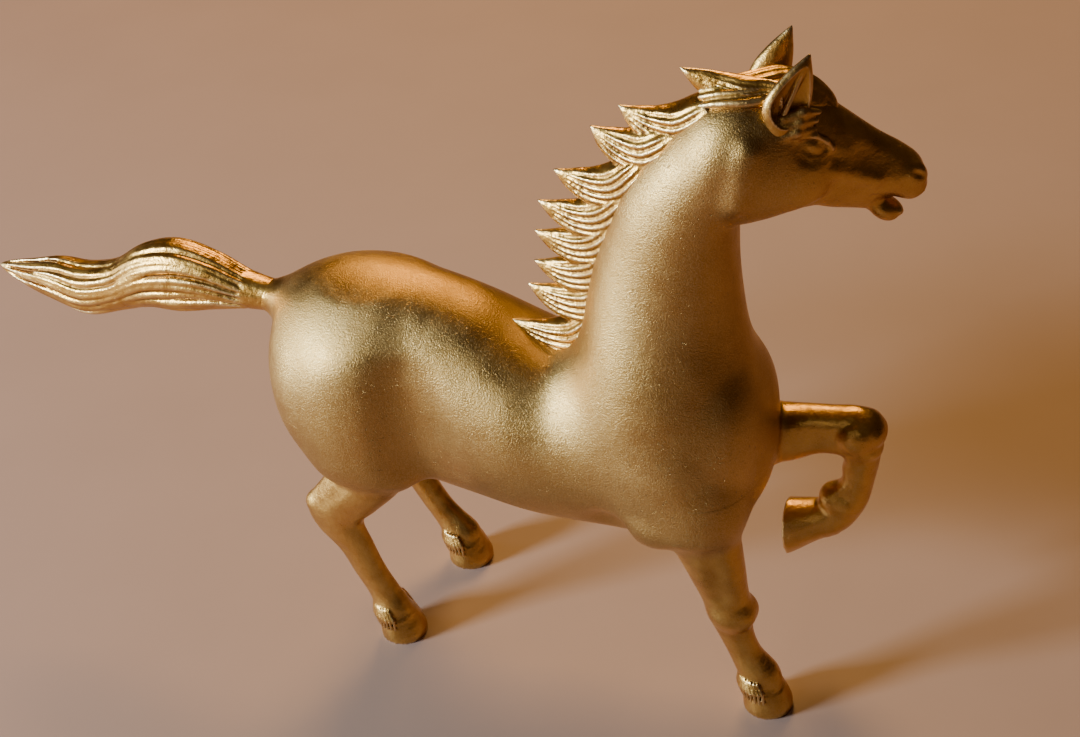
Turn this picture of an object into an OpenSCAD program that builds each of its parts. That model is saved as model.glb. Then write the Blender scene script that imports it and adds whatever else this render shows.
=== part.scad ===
// Cast bronze horse statue, trotting with its left foreleg raised, about 200 mm from muzzle to tail tip.
// The castings are let into one another, pinned and brazed, as small sectional bronzes are.
// Origin: on the ground below the middle of the statue. +X is forward, +Y is the horse's left, +Z is up.

/* [Body] */
// Half width of the rump at its widest
rump_w = 20; // [17:0.5:23]
// Half width of the waist behind the ribs
waist_w = 16; // [13:0.5:19]
// Half width of the chest at the shoulders
chest_w = 19; // [16:0.5:22]
// Half width of the neck at mid height
neck_w = 10.5; // [9:0.5:13]
// Half width of the neck where the head joins it
poll_w = 8.5; // [7:0.5:10]
// Thickness of the cast wall round the hollow of the body
wall = 3.5; // [2.5:0.5:5]
// Radius of the plug that closes the casting core's hole in the belly
plug_r = 4; // [3:0.5:5]

/* [Head] */
// Turn of the head to the horse's left, in degrees
head_turn = 30; // [0:1:40]
// Half width of the head across the eyes
brow_w = 7; // [6:0.5:8]
// Half width of the muzzle
muzzle_w = 4.6; // [3.5:0.1:6]
// Height of the ears above the skull
ear_h = 11; // [9:0.5:14]

/* [Mane and tail] */
// Half thickness of a mane lock at its root
lock_w = 3; // [2:0.25:4]
// Half height of a mane lock at its widest
lock_h = 3.4; // [2.5:0.1:4.5]
// Half width of the tail at its fullest
tail_w = 5.6; // [4:0.1:7]

/* [Legs] */
// Half width of a cannon bone
cannon_w = 2.8; // [2.2:0.1:3.5]
// Half width of a knee or hock
knee_w = 4.2; // [3.5:0.1:5]
// Radius of a hoof at the ground
hoof_r = 5; // [4.5:0.1:7]
// Radius of a hoof at the coronet
coronet_r = 4; // [3.5:0.1:5.5]
// Height of a hoof
hoof_h = 5.5; // [4:0.5:7]

/* [Pins and studs] */
// Radius of the dowel across each leg root
dowel_r = 1; // [0.75:0.25:1.5]
// Length of a leg dowel
dowel_l = 13; // [11:0.5:15]
// Radius of the stud between the neck and the head
neck_stud_r = 2.5; // [2:0.25:3.5]
// Radius of the stud inside the dock of the tail
tail_stud_r = 1.5; // [1:0.25:2]
// Radius of the pins that hold the mane
mane_pin_r = 0.75; // [0.5:0.25:1]

/* [Hidden] */
gold = [0.80, 0.62, 0.30];
satin = [0.82, 0.70, 0.42];
dark_gold = [0.62, 0.44, 0.18];
rod = [0.75, 0.60, 0.30];
bite = 0.02;

// Half width scales of the thigh and shoulder masses
thigh_w = rump_w * 0.52;
shoulder_w = chest_w * 0.5;

// Body sections from the rump to the poll: top x, top z, bottom x, bottom z, middle y, half width
torso = [
    [-28.5, 75, -28.5, 68, 0, 4],
    [-25, 81, -28.5, 57, 0, rump_w * 0.6],
    [-18, 85, -23, 47, 0, rump_w * 0.86],
    [-8, 86.5, -14, 41.5, 0, rump_w],
    [4, 85.5, 0, 40, 0, rump_w],
    [15, 82.5, 13, 37.8, 0, rump_w * 0.93],
    [24, 78, 27, 36.6, 0, waist_w * 1.1],
    [31, 75.5, 42, 36.6, 0, waist_w * 1.08],
    [35, 78, 57, 37.5, 0, chest_w * 0.98],
    [37.5, 83, 69, 44, 0, chest_w],
    [39, 90, 73.5, 56, 0, chest_w * 0.9],
    [41, 98, 72.5, 69, 0, chest_w * 0.74],
    [44, 106, 69, 81, 0, neck_w * 1.12],
    [48, 114.5, 67.5, 92, 0, neck_w],
    [55, 123, 67, 101, 0, neck_w * 0.92],
    [66, 131, 68, 108, 0, poll_w]
];
// The hollow follows the body inside its wall
hollow = [
    [-21, 73, -22, 62, 0, 5],
    [-16, 80, -19, 51, 0, rump_w - wall - 4],
    [-6, 82, -10, 45.5, 0, rump_w - wall],
    [8, 80, 6, 44, 0, rump_w - wall - 1],
    [21, 74, 26, 42, 0, waist_w - wall + 1],
    [32, 72, 43, 41, 0, waist_w - wall + 1],
    [39, 77, 60, 43, 0, chest_w - wall - 1],
    [43, 86, 68.5, 56, 0, chest_w - wall - 3],
    [46, 96, 68, 70, 0, neck_w - wall + 2],
    [50, 106, 64.5, 84, 0, neck_w - wall],
    [57, 114, 63.5, 96, 0, neck_w - wall - 1]
];
// Thigh of the right side: front x, front z, back x, back z, middle y, half width
thigh = [
    [2, 82, -15, 81, -5, 4],
    [7, 76, -21, 74, -8, thigh_w * 0.9],
    [9, 65, -24, 63, -10, thigh_w * 1.05],
    [8, 55, -22.5, 53, -11.5, thigh_w],
    [5, 47, -18.5, 46, -12.5, thigh_w * 0.75],
    [1, 43.5, -14, 43, -12.5, 3]
];
// Shoulder of the right side
shoulder = [
    [60, 72, 46, 70, -5, 5],
    [67, 63, 44, 61, -8, shoulder_w],
    [70.5, 53, 46, 52, -10, shoulder_w],
    [70, 46.5, 49, 45, -11.5, shoulder_w * 0.85],
    [66.5, 42, 53.5, 41.5, -12, 3]
];

right_hind = [
    [0, 57, -12, 56, -11.5, 5],
    [2, 47, -14.5, 46, -12, 5.6],
    [-2, 41, -18.5, 40, -12.8, 5.3],
    [-8, 35, -23, 34.5, -13, knee_w],
    [-10, 29, -21.5, 27.5, -13, 3.4],
    [-9.5, 19, -17, 17.5, -12.5, cannon_w],
    [-7.5, 12.5, -14.5, 10.5, -12, cannon_w],
    [-4, 9, -13, 6.5, -12, 3.6],
    [-3, 6, -11, 3.8, -12, 3.6]
];
left_hind = [
    [0, 57, -12, 56, 11.5, 5],
    [1, 47, -14.5, 46, 12, 5.6],
    [-5, 40.5, -20.5, 39.5, 13.2, 5.3],
    [-9, 34.5, -23.5, 33.5, 14.5, knee_w],
    [-9, 27.5, -20.5, 26, 14.6, 3.4],
    [-5.5, 18, -13.5, 15.5, 14.6, cannon_w],
    [-3, 12.5, -10.5, 9.5, 14.6, cannon_w],
    [0.6, 9, -8, 6.3, 14.6, 3.5],
    [1.6, 6, -6, 3.8, 14.6, 3.6]
];
right_fore = [
    [67, 53, 56, 52, -10.5, 4.6],
    [69.5, 45, 56, 43, -11.5, 5.4],
    [70.5, 37, 59, 35, -11.5, 4.6],
    [71, 30, 61.5, 28, -11, 3.9],
    [72, 25.5, 62.5, 23.5, -10.6, knee_w],
    [71.5, 20, 64.5, 18, -10.3, 3],
    [73, 14.5, 66, 13, -10, cannon_w],
    [76.5, 10, 68, 7.5, -9.8, 3.6],
    [77.5, 6.5, 69.5, 4.2, -9.8, 3.6]
];
left_fore = [
    [57, 57.5, 56, 45.5, 10, 5.2],
    [66, 58.5, 65, 45.5, 11.5, 5.6],
    [74, 59.5, 73, 46.5, 12, 4.8],
    [81, 60.5, 79, 49.5, 12, 4.2],
    [87.5, 61, 83, 50, 12, 4.2],
    [91.3, 56.5, 84, 49, 12, knee_w],
    [91, 50.5, 84, 46.5, 12, 3.3],
    [90, 44.5, 84, 42.5, 12, cannon_w],
    [88.5, 37.5, 82.5, 39.5, 12, 3.1],
    [85, 31, 81, 37.5, 12, 3.5],
    [81.5, 28.6, 79.6, 35.4, 12, 3.5]
];

// Head sections: turn as a share of head_turn, top run, top z, bottom run, bottom z, half width
head = [
    [0, 0, 131, 2, 108, poll_w],
    [0.45, 5, 131.8, 5.5, 108.2, poll_w],
    [0.9, 10, 131.6, 10, 108.2, brow_w * 1.1],
    [1, 15, 130, 14.5, 108.6, brow_w],
    [1, 20, 125.8, 19, 109, brow_w * 0.84],
    [1, 26, 120.6, 24, 107.5, brow_w * 0.68],
    [1, 31, 116.8, 27.6, 103.8, muzzle_w],
    [1, 34, 113.6, 31, 104.2, muzzle_w * 0.9],
    [1, 35, 110.5, 34, 107, muzzle_w * 0.5]
];
// Tail sections: x, middle z, half height, half width
tail_line = [
    [-22, 75.2, 3, 3],
    [-30, 75.6, 3.6, 3.4],
    [-37, 76.2, 4.2, 4],
    [-44, 77.3, 6.6, tail_w * 0.9],
    [-52, 77.3, 8.2, tail_w],
    [-60, 76.2, 7.2, tail_w],
    [-68, 72.6, 5.8, tail_w * 0.95],
    [-76, 70.4, 6, tail_w * 0.93],
    [-83, 71.2, 5.4, tail_w * 0.8],
    [-90, 71.6, 3.6, tail_w * 0.55],
    [-96, 72.4, 1.7, tail_w * 0.28],
    [-99, 72.7, 0.4, 0.4]
];
// Mane locks from the poll down: root x, root z, tip x, tip z
locks = [
    [68, 131, 57.8, 135.6],
    [58, 126, 46.5, 127.4],
    [52.5, 120.5, 41, 122.8],
    [47, 113.5, 33.3, 113.2],
    [44.5, 107, 29.6, 106.3],
    [42.5, 101, 28.4, 99.8],
    [41.5, 95, 27.7, 93.2],
    [40, 87.8, 26, 87.8],
    [37, 80, 21.5, 78.9]
];

function spline(a, b, c, d, t) =
    0.5 * (2 * b + (c - a) * t + (2 * a - 5 * b + 4 * c - d) * t * t + (3 * b - a - 3 * c + d) * t * t * t);

// Each pair of neighbouring rows is filled with n steps of a smooth curve through all the rows
function filled(rows, n) = [
    for (i = [0 : len(rows) - 2])
        for (k = [0 : n - 1])
            spline(rows[max(i - 1, 0)], rows[i], rows[i + 1], rows[min(i + 2, len(rows) - 1)], k / n),
    rows[len(rows) - 1]
];

// Sections that stand across the middle plane: two outline points, a middle y and a half width
function flat_rings(rows, sides) = [
    for (r = rows)
        [for (j = [0 : sides - 1])
            let (a = 360 * j / sides, cx = (r[0] + r[2]) / 2, cz = (r[1] + r[3]) / 2)
                [cx + (r[0] - r[2]) / 2 * cos(a), r[4] + r[5] * sin(a), cz + (r[1] - r[3]) / 2 * cos(a)]]
];

// Sections that turn about the upright line through the poll
function turned_rings(rows, sides) = [
    for (r = rows)
        [for (j = [0 : sides - 1])
            let (
                a = 360 * j / sides,
                turn = head_turn * r[0],
                run = (r[1] + r[3]) / 2 + (r[1] - r[3]) / 2 * cos(a),
                side = r[5] * sin(a),
                z = (r[2] + r[4]) / 2 + (r[2] - r[4]) / 2 * cos(a)
            )
                [66 + run * cos(turn) - side * sin(turn), run * sin(turn) + side * cos(turn), z]]
];

function mean(ring) = [for (axis = [0 : 2]) [for (p = ring) p[axis]] * [for (p = ring) 1] / len(ring)];

// Skin through closed rings, with both ends capped by fans; back is for rings listed from front to rear
module skin(listed, back = false) {
    n = len(listed);
    rings = back ? [for (i = [n - 1 : -1 : 0]) listed[i]] : listed;
    m = len(rings[0]);
    points = concat([for (r = rings) each r], [mean(rings[0]), mean(rings[n - 1])]);
    sides = [
        for (i = [0 : n - 2])
            for (j = [0 : m - 1])
                let (a = i * m + j, b = i * m + (j + 1) % m)
                    each [[a, b, b + m], [a, b + m, a + m]]
    ];
    first = [for (j = [0 : m - 1]) [n * m, (j + 1) % m, j]];
    last = [for (j = [0 : m - 1]) [n * m + 1, (n - 1) * m + j, (n - 1) * m + (j + 1) % m]];
    polyhedron(points, concat(sides, first, last), convexity = 10);
}

function mirrored(rows) = [for (r = rows) [r[0], r[1], r[2], r[3], -r[4], r[5]]];

module right_masses() {
    skin(flat_rings(filled(thigh, 3), 20));
    skin(flat_rings(filled(shoulder, 3), 20));
}

module left_masses() {
    skin(flat_rings(filled(mirrored(thigh), 3), 20));
    skin(flat_rings(filled(mirrored(shoulder), 3), 20));
}

module body_form() {
    skin(flat_rings(filled(torso, 3), 32));
    right_masses();
    left_masses();
}

// Hoof: an upright truncated cone with a true flat sole
module hoof(x, y) {
    translate([x, y, 0]) cylinder(h = hoof_h, r1 = hoof_r, r2 = coronet_r);
}

module leg_form(rows) {
    skin(flat_rings(filled(rows, 3), 18));
}

// Dowels lie along Y through the leg roots: x, y, z of their middles
fore_pin = [62, 11, 50];
hind_pin = [-7, 12.5, 52.5];
raised_pin = [62, 11, 51.5];

module dowel(at, side) {
    translate([at[0], side * at[1] - dowel_l / 2, at[2]])
        rotate([-90, 0, 0]) cylinder(h = dowel_l, r = dowel_r);
}

module lock(r) {
    run = [r[2] - r[0], r[3] - r[1]];
    length = norm(run);
    along = run / length;
    up = [-along[1], along[0]] * (along[0] < 0 ? -1 : 1);
    // Share of the length, rise off the straight line, half height share, half thickness share
    shape = [
        [-0.08, -0.02, 0.62, 0.8],
        [0.1, -0.06, 0.95, 1],
        [0.35, -0.11, 1, 0.9],
        [0.6, -0.11, 0.82, 0.7],
        [0.8, -0.07, 0.5, 0.45],
        [0.93, -0.02, 0.22, 0.25],
        [1, 0, 0.05, 0.1]
    ];
    rows = [for (s = shape)
        let (
            c = [r[0], r[1]] + along * length * s[0] + up * length * s[1],
            h = up * lock_h * s[2]
        )
            [c[0] + h[0], c[1] + h[1], c[0] - h[0], c[1] - h[1], 0, lock_w * s[3]]];
    skin(flat_rings(filled(rows, 2), 12), back = true);
}

module mane_form() {
    for (r = locks) lock(r);
    // Comb that carries the locks, let into the crest
    comb = [for (r = locks) [r[0] - 3, r[1] + 0.5, r[0] + 3.5, r[1] - 2, 0, 2.2]];
    skin(flat_rings(filled(comb, 2), 12), back = true);
}

module ear_form(side) {
    // Leaf-shaped ear, taken about the head's own turn
    translate([66, 0, 0]) rotate([0, 0, head_turn])
        translate([10.5, side * 4.6, 129])
            rotate([side * -8, 12, side * 10])
                skin([
                    for (s = [[-3, 2.4, 1.8], [0, 3.4, 2.2], [0.35, 3.6, 2.1], [0.7, 2.4, 1.3], [0.9, 1, 0.6], [1, 0.15, 0.15]])
                        [for (j = [0 : 15])
                            let (a = 360 * j / 16, z = s[0] < 0 ? s[0] : s[0] * ear_h)
                                [s[1] * sin(a), s[2] * cos(a), z]]
                ]);
}

module forelock_form() {
    rows = [
        [0.75, 5, 134, 5, 130.5, 2],
        [0.9, 9, 134.2, 9, 129, 3.2],
        [1, 13, 133.2, 12, 127.5, 4],
        [1, 16.6, 130.8, 15, 126, 3.6],
        [1, 19, 127.6, 18, 124.6, 1.6]
    ];
    skin(turned_rings(filled(rows, 3), 16));
}

module tail_form() {
    rows = [for (t = tail_line) [t[0], t[1] + t[2], t[0], t[1] - t[2], 0, t[3]]];
    skin(flat_rings(filled(rows, 3), 24), back = true);
}

module neck_stud_form() {
    // Runs from the upper neck into the skull
    translate([60, 0, 115]) rotate([0, 65, 12]) cylinder(h = 17, r = neck_stud_r);
}

module tail_stud_form() {
    translate([-38, 0, 76]) rotate([0, 91, 0]) cylinder(h = 26, r = tail_stud_r);
}

module mane_pin_forms() {
    for (i = [1 : 3 : 7])
        translate([locks[i][0] - 1, 0, locks[i][1] - 0.5])
            rotate([0, 90 + 30, 0]) cylinder(h = 7, r = mane_pin_r);
}

module belly_hole() {
    translate([22, 0, 36]) cylinder(h = 10, r = plug_r);
}

module body_casting() {
    color(satin)
        resize([0, 0, 0])
            difference() {
                body_form();
                skin(flat_rings(filled(hollow, 2), 20));
                leg_form(right_fore);
                leg_form(left_fore);
                leg_form(right_hind);
                leg_form(left_hind);
                dowel(fore_pin, -1);
                dowel(raised_pin, 1);
                dowel(hind_pin, -1);
                dowel(hind_pin, 1);
                mane_form();
                tail_form();
                neck_stud_form();
                tail_stud_form();
                mane_pin_forms();
                belly_hole();
            }
}

module head_casting() {
    color(gold)
        resize([0, 0, 0])
            difference() {
                skin(turned_rings(filled(head, 3), 24));
                neck_stud_form();
                mane_form();
                ear_form(-1);
                ear_form(1);
                forelock_form();
            }
}

module right_ear() {
    color(gold) resize([0, 0, 0]) difference() { ear_form(-1); forelock_form(); }
}

module left_ear() {
    color(gold) resize([0, 0, 0]) difference() { ear_form(1); forelock_form(); }
}

module mane() {
    color(gold) resize([0, 0, 0]) difference() { mane_form(); mane_pin_forms(); }
}

module forelock() {
    color(dark_gold) resize([0, 0, 0]) difference() { forelock_form(); mane_form(); }
}

module tail() {
    color(gold) resize([0, 0, 0]) difference() { tail_form(); tail_stud_form(); }
}

module standing_leg(rows, x, y, pin, side) {
    color(gold)
        difference() {
            union() {
                leg_form(rows);
                hoof(x, y);
            }
            dowel(pin, side);
        }
}

module right_foreleg() { standing_leg(right_fore, 74.2, -9.8, fore_pin, -1); }
module right_hindleg() { standing_leg(right_hind, -6.6, -11.6, hind_pin, -1); }
module left_hindleg() { standing_leg(left_hind, -2, 14.6, hind_pin, 1); }

module left_foreleg() {
    color(gold)
        difference() {
            union() {
                leg_form(left_fore);
                // Raised hoof, its sole turned back
                translate([80.6, 12, 32]) rotate([0, -105, 0])
                    cylinder(h = hoof_h + 1.5, r1 = coronet_r - 0.4, r2 = hoof_r);
            }
            dowel(raised_pin, 1);
        }
}

module right_fore_dowel() { color(rod) dowel(fore_pin, -1); }
module left_fore_dowel() { color(rod) dowel(raised_pin, 1); }
module right_hind_dowel() { color(rod) dowel(hind_pin, -1); }
module left_hind_dowel() { color(rod) dowel(hind_pin, 1); }
module neck_stud() { color(rod) neck_stud_form(); }
module tail_stud() { color(rod) tail_stud_form(); }
module mane_pins() { color(rod) mane_pin_forms(); }
module belly_plug() { color(satin) translate([22, 0, 39.6]) cylinder(h = 4, r = plug_r); }

body_casting();
head_casting();
right_ear();
left_ear();
mane();
forelock();
tail();
right_foreleg();
left_foreleg();
right_hindleg();
left_hindleg();
right_fore_dowel();
left_fore_dowel();
right_hind_dowel();
left_hind_dowel();
neck_stud();
tail_stud();
mane_pins();
belly_plug();
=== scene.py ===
import math

import bmesh
import bpy
import numpy as np
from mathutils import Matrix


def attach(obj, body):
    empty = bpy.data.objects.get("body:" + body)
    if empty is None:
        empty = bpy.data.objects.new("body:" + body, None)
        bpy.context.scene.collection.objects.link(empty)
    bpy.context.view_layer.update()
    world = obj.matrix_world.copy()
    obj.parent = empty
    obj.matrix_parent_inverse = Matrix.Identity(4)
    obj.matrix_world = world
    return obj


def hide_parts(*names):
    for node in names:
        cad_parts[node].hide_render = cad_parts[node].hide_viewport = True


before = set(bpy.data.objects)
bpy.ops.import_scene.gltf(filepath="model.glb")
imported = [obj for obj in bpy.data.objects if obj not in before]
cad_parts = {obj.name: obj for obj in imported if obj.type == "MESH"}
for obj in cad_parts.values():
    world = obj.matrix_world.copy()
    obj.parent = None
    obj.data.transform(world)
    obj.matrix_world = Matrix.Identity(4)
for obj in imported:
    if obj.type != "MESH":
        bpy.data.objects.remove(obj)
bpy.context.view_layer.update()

import openvdb as vdb
from mathutils import Matrix, Vector

# Lengths are in millimetres, except for the camera, the floor and the lights, which are in metres.
MM = 0.001
PIVOT_X = 66.0      # upright line through the poll, about which the head turns
HEAD_TURN = math.radians(30)
BAND = 6            # narrow band of the clay, in voxels
FILLET = 2.2        # width of the fillet between a leg and the body
ROOT_DEPTH = 1.2    # how far a leg's sculpted root goes into the body
RAISED_Y = 12       # middle of the raised leg
BURNISH = 0.62      # how much of the satin finish the face and the legs lose
LOCK_GROOVE = 0.75  # depth of the grooves along a lock of the mane
rng = np.random.default_rng(7)

body_voxel = 0.45
fine_voxel = 0.27
mane_voxel = 0.24
hair_voxel = 0.2
ear_voxel = 0.16

# Joint of the head and the neck: a point of the plane and its normal, towards the head
NECK = ((66, 0, 119.5), (1, 0, 0.29))


# ---------------------------------------------------------------- camera
CAMERA_AT = (0.1468, -0.2576, 0.2707)
AZIMUTH, ELEVATION, ROLL = math.radians(25), math.radians(35.5), math.radians(-6)
cam_data = bpy.data.cameras.new("camera")
cam_data.lens = 60
cam_data.sensor_width = 36
cam_data.clip_start = 0.01
camera = bpy.data.objects.new("camera", cam_data)
bpy.context.scene.collection.objects.link(camera)
camera.matrix_world = (
    Matrix.Translation(CAMERA_AT)
    @ Matrix.Rotation(AZIMUTH, 4, "Z")
    @ Matrix.Rotation(math.pi / 2 - ELEVATION, 4, "X")
    @ Matrix.Rotation(ROLL, 4, "Z")
)
bpy.context.scene.camera = camera


# ---------------------------------------------------------------- curves and lofts
def filled(rows, n):
    """Rows joined by a smooth curve, with n steps between neighbours."""
    rows = np.asarray(rows, float)
    last = len(rows) - 1
    out = []
    for i in range(last):
        a, b = rows[max(i - 1, 0)], rows[i]
        c, d = rows[i + 1], rows[min(i + 2, last)]
        for k in range(n):
            t = k / n
            out.append(0.5 * (2 * b + (c - a) * t + (2 * a - 5 * b + 4 * c - d) * t * t
                              + (3 * b - a - 3 * c + d) * t ** 3))
    out.append(rows[last])
    return np.array(out)


def flat_rings(rows, sides, n=4):
    """Sections across the middle plane: top x, z, bottom x, z, middle y, half width."""
    a = np.linspace(0, 2 * math.pi, sides, endpoint=False)
    rings = []
    for tx, tz, bx, bz, y, w in filled(rows, n):
        c, s = np.cos(a), np.sin(a)
        rings.append(np.stack([(tx + bx) / 2 + (tx - bx) / 2 * c, y + w * s,
                               (tz + bz) / 2 + (tz - bz) / 2 * c], 1))
    return np.array(rings)


def head_point(run, side, z, share=1.0):
    """A point of the head: how far forward of the poll, how far left, how high."""
    turn = HEAD_TURN * share
    return np.array([PIVOT_X + run * math.cos(turn) - side * math.sin(turn),
                     run * math.sin(turn) + side * math.cos(turn), z])


def turned_rings(rows, sides, n=4):
    """Head sections: turn share, top run, z, bottom run, z, half width."""
    a = np.linspace(0, 2 * math.pi, sides, endpoint=False)
    rings = []
    for share, tr, tz, br, bz, w in filled(rows, n):
        turn = HEAD_TURN * share
        run = (tr + br) / 2 + (tr - br) / 2 * np.cos(a)
        side = w * np.sin(a)
        rings.append(np.stack([PIVOT_X + run * math.cos(turn) - side * math.sin(turn),
                               run * math.sin(turn) + side * math.cos(turn),
                               (tz + bz) / 2 + (tz - bz) / 2 * np.cos(a)], 1))
    return np.array(rings)


def skin(rings):
    """Points and triangles of a closed surface through rings."""
    n, m = rings.shape[:2]
    points = np.vstack([rings.reshape(-1, 3), rings[0].mean(0), rings[-1].mean(0)])
    i, j = np.meshgrid(np.arange(n - 1), np.arange(m), indexing="ij")
    a, b = (i * m + j).ravel(), (i * m + (j + 1) % m).ravel()
    k = np.arange(m)
    first = np.stack([np.full(m, n * m), (k + 1) % m, k], 1)
    last = np.stack([np.full(m, n * m + 1), (n - 1) * m + k, (n - 1) * m + (k + 1) % m], 1)
    tris = np.vstack([np.stack([a, b, b + m], 1), np.stack([a, b + m, a + m], 1), first, last])
    return points, tris


# ---------------------------------------------------------------- clay: a solid as a field of distances
class Clay:
    """A box of distances to a surface, below 0 inside. Shapes are joined to it or dug out of it."""

    def __init__(self, low, high, voxel, reach=0):
        self.voxel = voxel
        self.start = np.floor(np.array(low) / voxel).astype(int)
        self.shape = np.ceil(np.array(high) / voxel).astype(int) - self.start + 1
        self.far = max(BAND * voxel, reach)
        self.d = np.full(self.shape, self.far, np.float32)
        self.axes = [(self.start[k] + np.arange(self.shape[k])) * voxel for k in range(3)]
        self.transform = vdb.createLinearTransform(voxelSize=voxel)

    def copied(self, other, field):
        """This clay's points in a field of another clay."""
        low = [other.axes[i][0] for i in range(3)]
        at = [np.clip((self.axes[i] - low[i]) / other.voxel, 0, other.shape[i] - 1.001) for i in range(3)]
        for i in range(3):
            base = np.floor(at[i]).astype(int)
            t = (at[i] - base).astype(np.float32)
            shape = [1, 1, 1]
            shape[i] = -1
            t = t.reshape(shape)
            field = np.take(field, base, axis=i) * (1 - t) + np.take(field, base + 1, axis=i) * t
        return np.ascontiguousarray(field)

    def window(self, low, high):
        """Slices of the box between two corners."""
        cut = []
        for k in range(3):
            a = int(np.searchsorted(self.axes[k], low[k]))
            b = int(np.searchsorted(self.axes[k], high[k]))
            cut.append(slice(max(a, 0), max(b, 0)))
        return tuple(cut)

    def blend(self, cut, d, k):
        """Joins a shape on with a fillet about k wide."""
        old = self.d[cut]
        h = np.maximum(k - np.abs(old - d), 0)
        self.d[cut] = np.minimum(old, d) - h * h / (4 * k)

    def carve(self, cut, d, k):
        """Cuts a shape out, its edge rounded about k wide."""
        old = self.d[cut]
        h = np.maximum(k - np.abs(old + d), 0)
        self.d[cut] = np.maximum(old, -d) + h * h / (4 * k)

    def solid(self, points, tris, k=0.5):
        """Joins a closed surface on."""
        band = self.far / self.voxel
        grid = vdb.FloatGrid.createLevelSetFromPolygons(
            points=points.astype(np.float32), triangles=tris.astype(np.uint32),
            transform=self.transform, halfWidth=band)
        cut = self.window(points.min(0) - band * self.voxel, points.max(0) + band * self.voxel)
        shape = [s.stop - s.start for s in cut]
        if min(shape) < 1:
            return
        part = np.empty(shape, np.float32)
        grid.copyToArray(part, ijk=tuple(int(self.start[i] + cut[i].start) for i in range(3)))
        self.blend(cut, part, k)

    def near(self, at, reach):
        """The slices within reach of a point, and the points in them."""
        cut = self.window(np.array(at) - reach, np.array(at) + reach)
        grids = np.meshgrid(*[self.axes[i][cut[i]] for i in range(3)], indexing="ij")
        return cut, np.stack(grids, -1)

    def ball(self, at, radii, k, turn=None, dig=False):
        """An ellipsoid; turn is a 3 by 3 matrix whose rows are its own axes."""
        cut, p = self.near(at, max(radii) + k + 1)
        if p.size == 0:
            return
        p = p - np.array(at)
        if turn is not None:
            p = p @ np.asarray(turn).T
        r = np.array(radii)
        k0 = np.linalg.norm(p / r, axis=-1)
        k1 = np.linalg.norm(p / (r * r), axis=-1) + 1e-9
        d = (k0 * (k0 - 1) / k1).astype(np.float32)
        (self.carve if dig else self.blend)(cut, d, k)

    def rod(self, a, b, ra, rb, k, dig=False):
        """A rod from a to b, its radius going from ra to rb, with round ends."""
        a, b = np.array(a, float), np.array(b, float)
        reach = np.linalg.norm(b - a) / 2 + max(ra, rb) + k + 1
        cut, p = self.near((a + b) / 2, reach)
        if p.size == 0:
            return
        t = np.clip(((p - a) @ (b - a)) / ((b - a) @ (b - a)), 0, 1)
        d = np.linalg.norm(p - a - t[..., None] * (b - a), axis=-1) - (ra + t * (rb - ra))
        (self.carve if dig else self.blend)(cut, d.astype(np.float32), k)

    def soften(self):
        """Evens out the distances over the next voxels."""
        for axis in range(3):
            d = np.moveaxis(self.d, axis, 0)
            e = d.copy()
            e[1:-1] = 0.5 * d[1:-1] + 0.25 * (d[:-2] + d[2:])
            self.d = np.moveaxis(e, 0, axis)
        self.d = np.ascontiguousarray(self.d)

    def close_edges(self):
        """Keeps the surface off the box's own faces, so that it is closed."""
        self.d[[0, -1]] = self.far
        self.d[:, [0, -1]] = self.far
        self.d[:, :, [0, -1]] = self.far

    def surface(self):
        """Points and quads of the surface."""
        grid = vdb.FloatGrid(float(self.far))
        grid.transform = self.transform
        grid.copyFromArray(np.clip(self.d, -self.far, self.far), ijk=tuple(int(v) for v in self.start))
        points, quads = grid.convertToQuads(isovalue=0)
        return points.astype(float), quads[:, ::-1].astype(int)


# ---------------------------------------------------------------- meshes
def volume_of(points, faces):
    """Volume inside triangles or quads, below 0 if they face inwards."""
    a, b, c = points[faces[:, 0]], points[faces[:, 1]], points[faces[:, 2]]
    v = np.einsum("ij,ij->", a, np.cross(b, c))
    if faces.shape[1] == 4:
        d = points[faces[:, 3]]
        v += np.einsum("ij,ij->", a, np.cross(c, d))
    return v / 6


def piece(name, points, faces, node, material, satin=0.0):
    """A Blender object from points in millimetres, riding on the root body."""
    faces = np.asarray(faces)
    if volume_of(points, faces) < 0:
        faces = faces[:, ::-1]
    mesh = bpy.data.meshes.new(name)
    mesh.from_pydata((points * MM).tolist(), [], faces.tolist())
    mesh.update()
    mesh.shade_smooth()
    obj = bpy.data.objects.new(name, mesh)
    bpy.context.scene.collection.objects.link(obj)
    mesh.materials.append(material)
    values = np.full(len(points), satin) if np.isscalar(satin) else satin
    mesh.attributes.new("satin", "FLOAT", "POINT").data.foreach_set("value", values.astype(np.float32))
    add_hollows(obj)
    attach(obj, "root")
    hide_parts(node)
    return obj


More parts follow.
